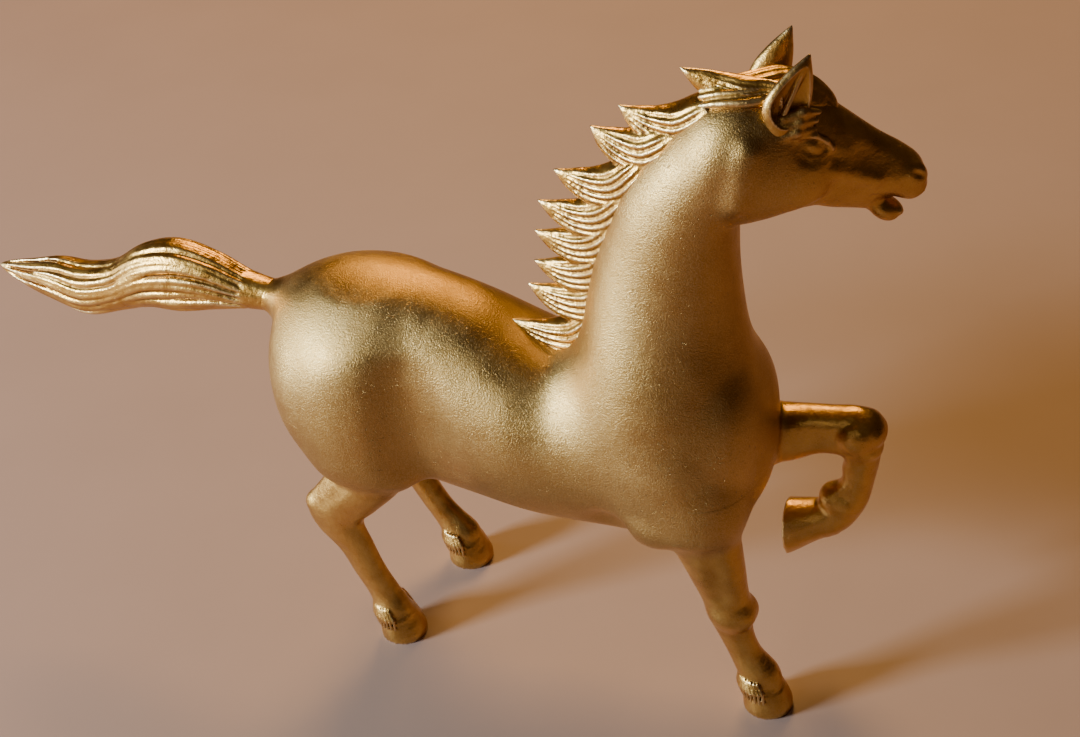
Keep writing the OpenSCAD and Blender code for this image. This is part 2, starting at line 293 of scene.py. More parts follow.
def add_hollows(obj):
    """Stores how far each point lies in a groove (above 0) or on a ridge (below 0)."""
    mesh = obj.data
    n = len(mesh.vertices)
    co = np.empty(n * 3, np.float32)
    mesh.vertices.foreach_get("co", co)
    co = co.reshape(-1, 3).astype(float)
    normal = np.empty(n * 3, np.float32)
    mesh.vertex_normals.foreach_get("vector", normal)
    normal = normal.reshape(-1, 3)
    edges = np.empty(len(mesh.edges) * 2, np.int32)
    mesh.edges.foreach_get("vertices", edges)
    edges = edges.reshape(-1, 2)
    span = np.linalg.norm(co[edges[:, 0]] - co[edges[:, 1]], axis=1) + 1e-9
    slope = np.einsum("ij,ij->i", normal[edges[:, 1]] - normal[edges[:, 0]],
                      co[edges[:, 1]] - co[edges[:, 0]]) / span ** 2
    count = np.bincount(edges.ravel(), minlength=n) + 1e-9
    hollow = -np.bincount(edges.ravel(), np.repeat(slope, 2), n) / count * MM
    for _ in range(3):
        total = (np.bincount(edges[:, 0], hollow[edges[:, 1]], n)
                 + np.bincount(edges[:, 1], hollow[edges[:, 0]], n))
        hollow = 0.5 * hollow + 0.5 * total / count
    mesh.attributes.new("hollow", "FLOAT", "POINT").data.foreach_set("value", hollow.astype(np.float32))


def cut_piece(obj, at, normal):
    """Cuts away the normal's side of a plane and caps the cut."""
    bm = bmesh.new()
    bm.from_mesh(obj.data)
    geom = bm.verts[:] + bm.edges[:] + bm.faces[:]
    made = bmesh.ops.bisect_plane(bm, geom=geom, dist=1e-7, plane_co=Vector(at) * MM,
                                  plane_no=Vector(normal), clear_outer=True)
    rim = [e for e in made["geom_cut"] if isinstance(e, bmesh.types.BMEdge)]
    made = bmesh.ops.edgeloop_fill(bm, edges=rim)
    for face in made["faces"]:
        face.smooth = False
        for edge in face.edges:
            edge.smooth = False
    bm.to_mesh(obj.data)
    bm.free()


# ---------------------------------------------------------------- finish of the bronze
def new_material(name):
    mat = bpy.data.materials.new(name)
    mat.use_nodes = True
    tree = mat.node_tree
    return mat, tree, tree.nodes["Principled BSDF"]


SATIN_GOLD = ((0.44, 0.25, 0.065), (0.55, 0.33, 0.10))
BRIGHT_GOLD = ((0.52, 0.27, 0.055), (0.70, 0.41, 0.105))
SPARKLE = (0.76, 0.56, 0.27)
GROOVE_BROWN = (0.15, 0.06, 0.018)
SPECK_BROWN = (0.13, 0.075, 0.035)
# Pale gold of the painted highlight on the ridges
RIDGE_HIGHLIGHT_GOLD = (0.93, 0.74, 0.44)


def bronze(name, rich=0.0, satin_default=None):
    """Cast bronze, from burnished (satin 0) to sand-blasted (satin 1), brown in the grooves.

    rich makes the burnished gold browner. satin_default stands in for a satin attribute."""
    mat, tree, shader = new_material(name)
    link = tree.links.new

    def node(kind, **props):
        made = tree.nodes.new(kind)
        for key, value in props.items():
            setattr(made, key, value)
        return made

    def math_node(op, a, b, clamp=False):
        made = node("ShaderNodeMath", operation=op, use_clamp=clamp)
        for socket, value in zip(made.inputs, (a, b)):
            if isinstance(value, (int, float)):
                socket.default_value = value
            else:
                link(value, socket)
        return made.outputs[0]

    def times(a, b):
        return math_node("MULTIPLY", a, b)

    def plus(a, b):
        return math_node("ADD", a, b)

    def noise(scale, detail=3, roughness=0.5):
        made = node("ShaderNodeTexNoise")
        made.inputs["Scale"].default_value = scale
        made.inputs["Detail"].default_value = detail
        made.inputs["Roughness"].default_value = roughness
        link(where, made.inputs["Vector"])
        return made.outputs["Fac"]

    def ramp(value, low, high, out_low=0.0, out_high=1.0):
        made = node("ShaderNodeMapRange", interpolation_type="SMOOTHSTEP")
        link(value, made.inputs[0])
        for i, v in enumerate((low, high, out_low, out_high)):
            made.inputs[i + 1].default_value = v
        return made.outputs[0]

    def mixed(fac, a, b):
        made = node("ShaderNodeMix", data_type="RGBA")
        link(fac, made.inputs["Factor"])
        for socket, value in ((made.inputs[6], a), (made.inputs[7], b)):
            if isinstance(value, tuple):
                socket.default_value = (*value, 1)
            else:
                link(value, socket)
        return made.outputs[2]

    where = node("ShaderNodeTexCoord").outputs["Object"]
    if satin_default is None:
        satin = node("ShaderNodeAttribute", attribute_name="satin").outputs["Fac"]
    else:
        held = node("ShaderNodeValue")
        held.outputs[0].default_value = satin_default
        satin = held.outputs[0]
    hollow = node("ShaderNodeAttribute", attribute_name="hollow").outputs["Fac"]

    cloud = noise(60, 4)
    patch = noise(220, 4, 0.6)
    lumps = noise(420, 4, 0.6)
    grain = noise(3600, 2)
    fine = noise(7600, 2)
    specks = ramp(noise(1500, 3, 0.7), 0.64, 0.70)
    worn_specks = times(specks, times(satin, ramp(cloud, 0.42, 0.6, 0.15, 0.9)))
    burnished = math_node("SUBTRACT", 1, satin, clamp=True)
    mostly_burnished = math_node("SUBTRACT", 1.1, satin, clamp=True)
    groove = times(times(ramp(hollow, 0.25, 1.1), ramp(patch, 0.25, 0.6, 0.6, 0.95)), mostly_burnished)
    # Painted highlight: convex ridges of the burnished bronze get up to 0.45 of a pale gold
    edge = times(ramp(hollow, -0.9, -0.3, 0.45, 0.0), burnished)

    satin_gold = mixed(ramp(cloud, 0.3, 0.7), *SATIN_GOLD)
    red, green, blue = BRIGHT_GOLD[0]
    bright_gold = mixed(ramp(patch, 0.3, 0.7), (red - 0.05 * rich, green, blue), BRIGHT_GOLD[1])
    colour = mixed(satin, bright_gold, satin_gold)
    colour = mixed(times(times(ramp(grain, 0.35, 0.75), satin), 0.4), colour, SPARKLE)
    colour = mixed(groove, colour, GROOVE_BROWN)
    colour = mixed(times(worn_specks, 0.6), colour, SPECK_BROWN)
    # Painted highlight on the ridges
    colour = mixed(edge, colour, RIDGE_HIGHLIGHT_GOLD)
    link(colour, shader.inputs["Base Color"])

    rough = plus(ramp(patch, 0.3, 0.7, 0.28 + 0.05 * rich, 0.39), times(satin, 0.04))
    rough = plus(rough, times(groove, 0.25))
    rough = math_node("ADD", rough, times(math_node("SUBTRACT", grain, 0.5), 0.16), clamp=True)
    link(rough, shader.inputs["Roughness"])
    shader.inputs["Metallic"].default_value = 1.0

    blasted = times(plus(grain, times(fine, 0.5)), satin)
    cast = times(lumps, math_node("SUBTRACT", 1.15, satin))
    height = plus(times(blasted, 0.55), times(cast, 1.7))
    height = math_node("SUBTRACT", height, times(worn_specks, 0.5))
    bump = node("ShaderNodeBump")
    bump.inputs["Strength"].default_value = 1.0
    bump.inputs["Distance"].default_value = 0.00017
    link(height, bump.inputs["Height"])
    link(bump.outputs[0], shader.inputs["Normal"])
    return mat


def brass(name):
    """Drawn brass rod with faint turning marks."""
    mat, tree, shader = new_material(name)
    where = tree.nodes.new("ShaderNodeTexCoord")
    wave = tree.nodes.new("ShaderNodeTexWave")
    wave.inputs["Scale"].default_value = 900
    wave.inputs["Distortion"].default_value = 3
    ramp = tree.nodes.new("ShaderNodeMapRange")
    ramp.inputs[3].default_value = 0.25
    ramp.inputs[4].default_value = 0.42
    tint = tree.nodes.new("ShaderNodeMix")
    tint.data_type = "RGBA"
    tint.inputs[6].default_value = (0.72, 0.50, 0.20, 1)
    tint.inputs[7].default_value = (0.82, 0.62, 0.30, 1)
    link = tree.links.new
    link(where.outputs["Object"], wave.inputs["Vector"])
    link(wave.outputs["Fac"], ramp.inputs[0])
    link(wave.outputs["Fac"], tint.inputs[0])
    link(ramp.outputs[0], shader.inputs["Roughness"])
    link(tint.outputs[2], shader.inputs["Base Color"])
    shader.inputs["Metallic"].default_value = 1.0
    return mat


SATIN = bronze("satin_bronze")
POLISHED = bronze("polished_bronze")
DARK = bronze("dark_bronze", rich=1.0)
BRASS = brass("brass_rod")
PLUG = bronze("plug_bronze", satin_default=1.0)


# ---------------------------------------------------------------- sections of the castings
# Body: top x, z, bottom x, z, middle y, half width
torso = [
    [-28.5, 75, -28.5, 68, 0, 4], [-25, 81, -28.5, 57, 0, 11.5], [-18, 85, -23, 47, 0, 16],
    [-8, 86.5, -14, 41.5, 0, 18.2], [4, 85.5, 0, 40, 0, 16.9], [15, 82.5, 13, 37.8, 0, 16.9],
    [24, 78, 27, 36.6, 0, 18.2], [31, 75.5, 42, 36.6, 0, 17.7], [35, 78, 57, 37.5, 0, 18.2],
    [37.5, 83, 69, 44, 0, 18.8], [39, 90, 73.5, 56, 0, 17.1], [41, 98, 72.5, 69, 0, 14.1],
    [44, 106, 69, 81, 0, 11.8], [48, 114.5, 67.5, 92, 0, 10.5], [55, 123, 67, 101, 0, 9.7],
    [64, 130, 67.5, 108, 0, 8.6], [70, 130, 72, 110.5, 1, 6.6], [74, 127, 75, 114, 2, 3],
]
# Masses of the right side and the four legs: front x, z, back x, z, middle y, half width
thigh = [
    [-1, 82, -15, 81, -5, 4], [2, 76, -21, 74, -8, 9.4], [4, 65, -24, 63, -10, 10.9],
    [4.5, 55, -22.5, 53, -11.5, 10.2], [3.5, 47, -18.5, 46, -12.5, 7.8], [1, 43.5, -14, 43, -12.5, 3],
]
shoulder = [
    [60, 72, 46, 70, -5, 5], [67, 63, 44, 61, -8, 9.3], [70.5, 53, 46, 52, -10, 9.5],
    [70, 47, 49, 46, -11.5, 8.1], [66.5, 43.4, 54.5, 43.2, -12, 3],
]
right_hind = [
    [0, 57, -12, 56, -11.5, 5], [3, 47.5, -14.5, 46, -12, 5.4], [-1.5, 41, -18.4, 40.2, -12.8, 4.7],
    [-7.3, 35, -23.3, 33.8, -13, 3.8], [-11.3, 30.6, -22.2, 28.4, -13, 3.1],
    [-10.1, 24.5, -18, 22.8, -12.8, 2.6], [-8.4, 18, -15.5, 16.5, -12.5, 2.5],
    [-6.3, 12.3, -13.2, 10.5, -12, 2.6], [-4.6, 9, -12.2, 6.5, -12, 3.3], [-3.4, 6, -10.8, 3.8, -12, 3.5],
]
left_hind = [
    [0, 57, -12, 56, 11.5, 5], [1, 47, -14.5, 46, 12, 5.4], [-5, 40.5, -19.5, 39.5, 13.2, 4.6],
    [-9.5, 33.5, -23.2, 33, 14.5, 3.7], [-10.4, 28.5, -20.6, 27, 14.6, 3.1],
    [-9, 22.5, -15.8, 21, 14.6, 2.6], [-5.8, 16, -12, 14.2, 14.6, 2.5],
    [-2.8, 12.3, -9.6, 10, 14.6, 2.6], [0.2, 9, -7.6, 6.3, 14.6, 3.3],
    [1.2, 6, -5.8, 3.8, 14.6, 3.5],
]
right_fore = [
    [67, 53, 56, 52, -10.5, 4.6], [69.5, 45, 56, 43, -11.5, 5.4], [70.5, 37, 59, 35, -11.5, 4.6],
    [71, 30, 61.5, 28, -11, 3.7], [72, 25.5, 62.5, 23.5, -10.6, 4], [71.5, 20, 64.5, 18, -10.3, 2.8],
    [73, 14.5, 66.4, 13, -10, 2.7], [76.3, 10, 68.4, 7.5, -9.8, 3.4], [77.3, 6.5, 69.7, 4.2, -9.8, 3.5],
]
left_fore = [
    [57, 57.5, 56, 45.5, 10, 5.2], [66, 58.5, 65, 45.5, 11.5, 5.6], [74, 59.5, 73, 46.5, 12, 4.8],
    [81, 60.5, 79, 49.5, 12, 4], [87.5, 61, 83, 50, 12, 4], [91.3, 56.5, 84, 49, 12, 4],
    [91, 50.5, 83.6, 47, 12, 3.2], [90, 44.5, 83.4, 43.6, 12, 2.7], [88.6, 38, 80.6, 40.6, 12, 3],
    [85.4, 32, 80, 37.6, 12, 3.5], [81.5, 28.8, 78.6, 36.4, 12, 3.7],
]
# Head: share of the turn, top run, z, bottom run, z, half width
head = [
    [0, -8, 125, -6, 113, 4], [0, -4, 129.2, -2.5, 110, 7], [0, 0, 131, 2, 108, 8.4],
    [0.45, 5, 131.8, 5.5, 108.2, 8.3], [0.9, 10, 131.6, 10, 108.2, 7.4], [1, 15, 130, 14.5, 108.2, 6.5],
    [1, 20, 125.8, 18.5, 107.4, 5.7], [1, 26, 120.6, 22.8, 107.2, 4.7],
    [1, 30.6, 117.2, 27.4, 107.8, 4.3], [1, 33.6, 114.3, 31.4, 106.5, 3.9], [1, 34.7, 111, 33.4, 107.3, 2.8],
]


# Middle of each standing hoof, x and y
right_hind_hoof = (-6.6, -11.6)
left_hind_hoof = (-2, 14.6)
right_fore_hoof = (74.2, -9.8)


# ---------------------------------------------------------------- sculpting the castings
def mirrored(rows):
    return [[*row[:4], -row[4], row[5]] for row in rows]


def sculpt_body(clay):
    clay.solid(*skin(flat_rings(torso, 64, 8)), 0.1)
    for rows in (thigh, mirrored(thigh), shoulder, mirrored(shoulder)):
        clay.solid(*skin(flat_rings(rows, 48, 8)), 5)
    for s in (-1, 1):
        # Elbow and the hollow behind it
        clay.ball((54.5, s * 13.2, 47.6), (6.4, 6, 6), 2.2)
        clay.ball((44.5, s * 17, 43), (4.5, 4, 5), 3, dig=True)
        # Forearm, chest and buttock muscles
        clay.ball((62, s * 12, 51), (7.5, 6, 8.4), 3.5)
        clay.ball((66, s * 6.5, 66), (4.8, 6, 9), 5)
        clay.ball((-19, s * 9, 62), (6, 8, 12), 5)
        # Hollow between the flank and the thigh
        clay.rod((6.5, s * 22.4, 72), (8, s * 21.4, 50), 6.5, 6.5, 5, dig=True)
        # Jugular furrow
        clay.rod((67.5, s * 11, 92), (69.5, s * 10, 105), 0.6, 0.8, 4, dig=True)
    # Dock
    clay.rod((-20, 0, 75), (-32, 0, 75.7), 6.2, 3.3, 4)


def sculpt_standing_leg(clay, rows, hoof_at, hock):
    clay.solid(*skin(flat_rings(rows, 40, 8)), 2.5)
    hoof(clay, *hoof_at)
    if hock:
        # Point of the hock and the tendon that runs up from it to the back of the thigh
        px, pz, py = rows[3][2], rows[3][3], rows[3][4]
        ux, uz, uy = rows[1][2] + 1.5, rows[1][3], rows[1][4]
        clay.rod((px + 1.3, py, pz + 0.8), (ux, uy, uz), 1.5, 1.6, 1.2)
        clay.ball((px + 1.8, py, pz + 0.6), (1.9, 2.2, 2.1), 1)
        cx, cz, cy = rows[5][2], rows[5][3], rows[5][4]
        for side in (-1, 1):
            # Hollow between the tendon and the bone
            clay.rod((px + 4.6, py + side * 5.2, pz + 2.6), (ux + 3.6, uy + side * 6.4, uz + 0.5),
                     1.3, 1, 1.6, dig=True)
        for side in (-1, 1):
            # Furrow of the cannon
            clay.rod((px + 3.6, py + side * 4.1, pz - 7), (cx + 2.2, cy + side * 3.4, cz + 1),
                     0.8, 0.8, 1, dig=True)
    else:
        kx, kz, ky = (rows[4][0] + rows[4][2]) / 2, (rows[4][1] + rows[4][3]) / 2, rows[4][4]
        for side in (-1, 1):
            # Knee bones and the furrow of the cannon
            clay.ball((kx + 0.9, ky + side * 1.4, kz + 0.2), (4.1, 2.7, 3.1), 1.6)
            clay.rod((kx - 0.8, ky + side * 3.8, kz - 4.5), (kx + 1.4, ky + side * 3.3, kz - 11),
                     0.8, 0.7, 1, dig=True)
        # Furrow of the forearm
        clay.rod((66.4, -18, 44), (66.8, -16.4, 31), 1.4, 1.2, 2.5, dig=True)


def hoof(clay, x, y):
    """Round hoof with a coronet and a fan of feather ridges at the heel."""
    a = np.linspace(0, 2 * math.pi, 40, endpoint=False)
    rings = []
    for z, r, shift in ((0, 5, 0), (1.6, 5.0, 0), (3.4, 4.7, -0.3), (5.4, 4.2, -0.7), (7, 3.2, -1.2)):
        across = y + r * np.sin(a) * 0.98
        rings.append(np.stack([x + shift + r * np.cos(a), across, np.full(40, float(z))], 1))
    clay.solid(*skin(np.array(rings)), 0.8)
    for k in range(21):
        a = math.radians(80 + 10 * k)
        b = a + math.radians(6)
        top = (x - 1.8 + 4.1 * math.cos(a), y + 3.7 * math.sin(a), 8.4)
        mid = (x - 1.2 + 4.8 * math.cos(b), y + 4.5 * math.sin(b), 6.3)
        low = (x - 0.4 + 4.95 * math.cos(a), y + 4.85 * math.sin(a), 4.0)
        clay.rod(top, mid, 0.3, 0.42, 0.05)
        clay.rod(mid, low, 0.42, 0.25, 0.05)


def sculpt_raised_leg(clay):
    clay.solid(*skin(flat_rings(left_fore, 40, 8)), 2.5)
    # Hoof, its sole facing back
    a = np.linspace(0, 2 * math.pi, 48, endpoint=False)
    down, across = np.array([0.09, 0, -0.996]), np.array([0.0, 1, 0])
    sections = [[83, 33.6, 3.6, 3.3], [80.5, 32.8, 4.2, 3.9], [78, 31.6, 4.7, 4.4],
                [75.4, 30.2, 5.5, 4.8], [72.7, 28.9, 6.3, 5.1]]
    rings = []
    for x, z, tall, wide in filled(sections, 4):
        middle = np.array([x, RAISED_Y, z])
        rings.append(middle + tall * np.cos(a)[:, None] * down + wide * np.sin(a)[:, None] * across)
    clay.solid(*skin(np.array(rings)), 0.6)
    # Knee
    clay.ball((88.2, RAISED_Y, 57), (3.4, 4.2, 3.6), 1)
    clay.ball((90.2, RAISED_Y, 56.4), (1.9, 3.4, 2.6), 0.6)
    clay.ball((89.4, RAISED_Y, 52.6), (2, 3.5, 2), 0.5)
    for side in (-1, 1):
        # Hollow of the forearm above the knee, the knee bones and the hollow below them
        clay.ball((79.5, RAISED_Y + side * 6.2, 55.5), (6, 2, 3.4), 2, dig=True)
        clay.ball((86.6, RAISED_Y + side * 3, 55.8), (3.2, 2, 3.2), 0.8)
        clay.ball((87.4, RAISED_Y + side * 5, 49.6), (2.6, 1.6, 2), 1.2, dig=True)
        # Furrow of the cannon
        clay.rod((87, RAISED_Y + side * 4, 48), (85.4, RAISED_Y + side * 3.9, 41), 0.8, 0.7, 1, dig=True)
    for s in (-1, 1):
        # Furrow behind it
        clay.rod((85.6, RAISED_Y + s * 3.6, 47), (84.6, RAISED_Y + s * 3.6, 41), 0.8, 0.8, 1, dig=True)
    # Fetlock
    clay.ball((84.2, RAISED_Y, 38), (3.6, 3.5, 3), 0.8)
    clay.ball((81.4, RAISED_Y, 38.8), (2.2, 2.8, 2.2), 2)


def sculpt_head(clay):
    clay.solid(*skin(turned_rings(head, 56, 8)), 3)
    h = head_point
    # Axes of the turned head, level and dipped along the face
    c, s = math.cos(HEAD_TURN), math.sin(HEAD_TURN)
    turn = np.array([[c, s, 0], [-s, c, 0], [0, 0, 1]])
    pitch = math.radians(38)
    c, s = math.cos(pitch), math.sin(pitch)
    dip = np.array([[c, 0, -s], [0, 1, 0], [s, 0, c]]) @ turn
    # Lower jaw, chin and lower lip
    clay.rod(h(18, 0, 111), h(25, 0, 107.6), 3.2, 2.2, 1.6)
    clay.ball(h(27.4, 0, 105.2), (3.2, 2.9, 2.2), 1, dip)
    clay.ball(h(29.6, 0, 104.9), (1.5, 2.4, 0.8), 0.8, dip)
    for s in (-1, 1):
        # Jowl and the hollow behind it
        clay.ball(h(9.5, s * 5.2, 117), (6.5, 2.8, 6), 2.0, turn)
        clay.rod(h(1.4, s * 7.5, 124), h(-1.2, s * 7.3, 115), 1.5, 1.7, 2.5)
        clay.rod(h(-4.3, s * 11.6, 120), h(-4.5, s * 11.2, 113), 1.8, 2, 3, dig=True)
        # Eye in its lids under the brow
        clay.ball(h(12.8, s * 8.3, 122.8), (3.8, 1.4, 2.8), 1, dip, dig=True)
        clay.ball(h(12.9, s * 5.1, 122.9), (2.7, 1.9, 1.7), 0.25, dip)
        inner, outer = (16.4, 5.9, 121.7), (8.9, 6.7, 124.6)
        upper = (outer, (10.8, 6.9, 125.3), (13.2, 6.75, 125), (15.2, 6.3, 123.4), inner)
        lower = (outer, (10, 6.9, 122.6), (12.2, 6.75, 121), (14.4, 6.3, 120.7), inner)
        for lid, radius, k in ((upper, 0.5, 0.4), (lower, 0.36, 0.3)):
            for (a, b, c), (d, e, f) in zip(lid, lid[1:]):
                clay.rod(h(a, s * b, c), h(d, s * e, f), radius, radius, k)
        # Locks of the temple above the eye
        for k in range(3):
            first = h(6.4 + 0.7 * k, s * (7.0 - 0.3 * k), 125.6 + 1.6 * k)
            middle = h(9.9 + 0.6 * k, s * (7.1 - 0.4 * k), 126.4 + 1.5 * k)
            end = h(13.2 + 0.5 * k, s * (6.2 - 0.4 * k), 126.0 + 1.3 * k)
            clay.rod(first, middle, 0.8, 1.0, 0.5)
            clay.rod(middle, end, 1.0, 0.5, 0.5)
        # Cheek ridge and the side of the nose
        clay.rod(h(17, s * 5.4, 117.2), h(24.5, s * 4.2, 113.4), 0.9, 0.7, 2)
        clay.ball(h(25, s * 5.6, 117.6), (4, 1.2, 1.6), 2, dip, dig=True)
        # Nostril
        clay.ball(h(32, s * 3.0, 112.8), (2.0, 1.2, 1.6), 1.5, dip)
        clay.ball(h(32.4, s * 4.5, 112.9), (1.4, 0.7, 0.5), 0.8, dip, dig=True)
        # Corner of the mouth
        clay.rod(h(24.2, s * 3.9, 109.9), h(26.8, s * 3.7, 108.7), 0.3, 0.45, 0.4, dig=True)
    # Mouth gap
    for side in (-4.5, -3, -1.5, 0, 1.5, 3, 4.5):
        clay.rod(h(25.8, side, 108.6), h(33, side, 105.6), 0.25, 0.5, 0.2, dig=True)


def smoothstep(x, low, high):
    t = np.clip((x - low) / (high - low), 0, 1)
    return t * t * (3 - 2 * t)


def smoothed(points, quads, times):
    """Evens out the steps of the isosurface."""
    n = len(points)
    edges = np.vstack([quads[:, [0, 1]], quads[:, [1, 2]], quads[:, [2, 3]], quads[:, [3, 0]]])
    count = np.bincount(edges.ravel(), minlength=n)[:, None] + 1e-9
    for _ in range(times):
        total = np.zeros_like(points)
        for k in range(3):
            total[:, k] = (np.bincount(edges[:, 0], points[edges[:, 1], k], n)
                           + np.bincount(edges[:, 1], points[edges[:, 0], k], n))
        points = points + 0.5 * (total / count - points)
    return points


def sample(clay, field, points):
    """Values of a field of the clay at points, joined linearly."""
    at = (points - np.array([a[0] for a in clay.axes])) / clay.voxel
    low = np.clip(np.floor(at).astype(int), 0, np.array(field.shape) - 2)
    t = at - low
    out = np.zeros(len(points))
    for i in (0, 1):
        for j in (0, 1):
            for k in (0, 1):
                w = (abs(1 - i - t[:, 0]) * abs(1 - j - t[:, 1]) * abs(1 - k - t[:, 2]))
                out += w * field[low[:, 0] + i, low[:, 1] + j, low[:, 2] + k]
    return out


def from_clay(name, node, material, clay, satin, times=2):
    """A piece from a clay's surface; satin is a number or a function of the points."""
    clay.close_edges()
    points, quads = clay.surface()
    points = smoothed(points, quads, times)
    return piece(name, points, quads, node, material, satin(points) if callable(satin) else satin)


def leg_piece(name, node, low, high, sculptor):
    """A leg with the fillet that runs out onto the body, and a root let into the body."""
    clay = Clay(low, high, fine_voxel, FILLET + 0.3)
    trunk = clay.copied(body_clay, trunk_field)
    sculptor(clay)
    leg_field = clay.d
    h = np.maximum(FILLET - np.abs(trunk - leg_field), 0)
    clay.d = np.minimum(trunk, leg_field) - h * h / (4 * FILLET)
    clay.d = np.maximum(clay.d, np.maximum(leg_field - FILLET + 0.1, -(trunk + ROOT_DEPTH)))
    return from_clay(name, node, POLISHED, clay,
                     lambda p: 1 - BURNISH * smoothstep(sample(clay, trunk, p), 0.2, 2.0))


def body_satin(p):
    """The body and the neck are sand-blasted, and the end of the dock is burnished."""
    return smoothstep(p[:, 0], -32, -26.5)


def head_satin(p):
    """The cheek is sand-blasted, and the face towards the muzzle is half burnished."""
    run = (p[:, 0] - PIVOT_X) * math.cos(HEAD_TURN) + p[:, 1] * math.sin(HEAD_TURN)
    return 1 - BURNISH * smoothstep(run, 5, 15)


body_clay = Clay((-36, -25, 30), (84, 25, 136), body_voxel, 5.4)
sculpt_body(body_clay)
trunk_field = body_clay.d.copy()
sculpt_head(body_clay)
body = from_clay("body", "body_casting", SATIN, body_clay, body_satin, 4)
cut_piece(body, *NECK)

head_clay = Clay((57, -13, 98), (102, 30, 137), fine_voxel, 3)
head_clay.d = head_clay.copied(body_clay, trunk_field)
sculpt_head(head_clay)
head_piece = from_clay("head", "head_casting", SATIN, head_clay, head_satin)
cut_piece(head_piece, NECK[0], [-v for v in NECK[1]])

leg_piece("right_hind_leg", "right_hindleg", (-28, -24, -1), (10, 0, 62),
          lambda clay: sculpt_standing_leg(clay, right_hind, right_hind_hoof, True))
leg_piece("left_hind_leg", "left_hindleg", (-28, 0, -1), (10, 24, 62),
          lambda clay: sculpt_standing_leg(clay, left_hind, left_hind_hoof, True))
leg_piece("right_fore_leg", "right_foreleg", (47, -24, -1), (86, 2, 62),
          lambda clay: sculpt_standing_leg(clay, right_fore, right_fore_hoof, False))
leg_piece("left_fore_leg", "left_foreleg", (52, 0, 20), (97, 24, 68), sculpt_raised_leg)


# ---------------------------------------------------------------- hair
def tube(path, radii, sides=10):
    """Points and triangles of a closed tube along a path."""
    path = np.asarray(path, float)
    radii = np.asarray(radii, float)
    along = np.gradient(path, axis=0)
    along /= np.linalg.norm(along, axis=1)[:, None] + 1e-9
    side = np.cross(along, [0.0, 0.3, 1.0])
    side /= np.linalg.norm(side, axis=1)[:, None] + 1e-9
    up = np.cross(side, along)
    a = np.linspace(0, 2 * math.pi, sides, endpoint=False)
    around = np.cos(a)[None, :, None] * side[:, None] + np.sin(a)[None, :, None] * up[:, None]
    return skin(path[:, None] + radii[:, None, None] * around)


def rounded_ends(t):
    """Share of the full radius along a strand, small at both ends."""
    return np.minimum(1, np.sqrt(np.minimum(t / 0.12, (1 - t) / 0.25) + 0.004))


def joined(parts):
    """Several closed surfaces as one list of points and one of triangles, all facing outwards."""
    points, tris, shift = [], [], 0
    for p, t in parts:
        if volume_of(p, t) < 0:
            t = t[:, ::-1]
        points.append(p)
        tris.append(t + shift)
        shift += len(p)
    return np.vstack(points), np.vstack(tris)


# Tail: x, middle z, half height, half width
tail_line = [
    [-22, 75.2, 3, 3], [-31, 75.8, 3.4, 3.3], [-37, 76.4, 4.3, 4.0], [-44, 77.3, 6.4, 5],
    [-52, 77.3, 8.2, 5.6], [-60, 76.2, 7.2, 5.6], [-68, 72.6, 5.8, 5.3], [-76, 70.4, 6, 5.2],
    [-83, 71.2, 5.4, 4.5], [-90, 71.6, 3.6, 3.1], [-96, 72.4, 1.7, 1.6], [-98.8, 72.7, 0.4, 0.4],
]


def tail_parts():
    """A smooth core under waved strands, some of them broken on the way."""
    line = filled(tail_line, 8)
    core = line.copy()
    inner = smoothstep(-core[:, 0], 35, 41)[:, None]
    core[:, 2:] -= inner * np.minimum(1.2, 0.3 * core[:, 2:])
    core[:, 2:] = np.maximum(core[:, 2:], 0.25)
    rows = [[c[0], c[1] + c[2], c[0], c[1] - c[2], 0, c[3]] for c in core]
    parts = [skin(flat_rings(rows, 32, 1))]
    count = 24
    for k in range(count):
        a0 = 2 * math.pi * k / count
        spans = [(-33.5 - 3 * rng.random(), -98.5)]
        if k % 3 == 1:
            spans = [(-34 - 3 * rng.random(), -64 - 8 * rng.random()), (-57 - 5 * rng.random(), -98)]
        if k % 3 == 2:
            spans = [(-35 - 5 * rng.random(), -80 - 12 * rng.random())]
        sway, phase = 0.10 + 0.08 * rng.random(), rng.random()
        for start, end in spans:
            xs = np.linspace(start, end, 40)
            t = np.linspace(0, 1, 40)
            whole = (-37 - xs) / 61
            zc, hh, ww = [np.interp(-xs, -line[:, 0], line[:, i]) for i in (1, 2, 3)]
            a = a0 + sway * np.sin(2 * math.pi * (1.2 * whole + 0.3 * phase)) + 0.25 * np.sin(3.2 * whole)
            if len(spans) > 1:
                a = a + (0.06 if start > -50 else -0.06)
            spacing = math.pi * (hh + ww) / count
            r = spacing * 0.59 * rounded_ends(t) + 0.05
            r = r * (1 + 0.06 * np.sin(8 * t + 6 * phase))
            path = np.stack([xs, np.maximum(ww - 0.85 * r, 0.02) * np.sin(a),
                             zc + np.maximum(hh - 0.85 * r, 0.02) * np.cos(a)], 1)
            parts.append(tube(path, r, 10))
    return parts


def hair_piece(name, material, low, high, parts):
    """A tuft melted together from its strands; the piece has its node's name."""
    clay = Clay(low, high, hair_voxel)
    clay.solid(*joined(parts), 0.1)
    clay.soften()
    return from_clay(name, name, material, clay, 0.0, 1)


hair_piece("tail", POLISHED, (-99.5, -7, 62), (-20, 7, 87.5), tail_parts())


# Mane locks from the poll down: root x, z, tip x, z
locks = [
    [71, 132, 57.8, 135.6], [59, 126, 46.5, 127.4], [52.5, 120.5, 41, 122.8], [47, 113.5, 33.3, 113.2],
    [44.5, 107, 29.6, 106.3], [42.5, 101, 28.4, 99.8], [41.5, 95, 27.7, 93.2], [40, 87.8, 26, 87.8],
    [37, 80, 21.5, 78.9],
]


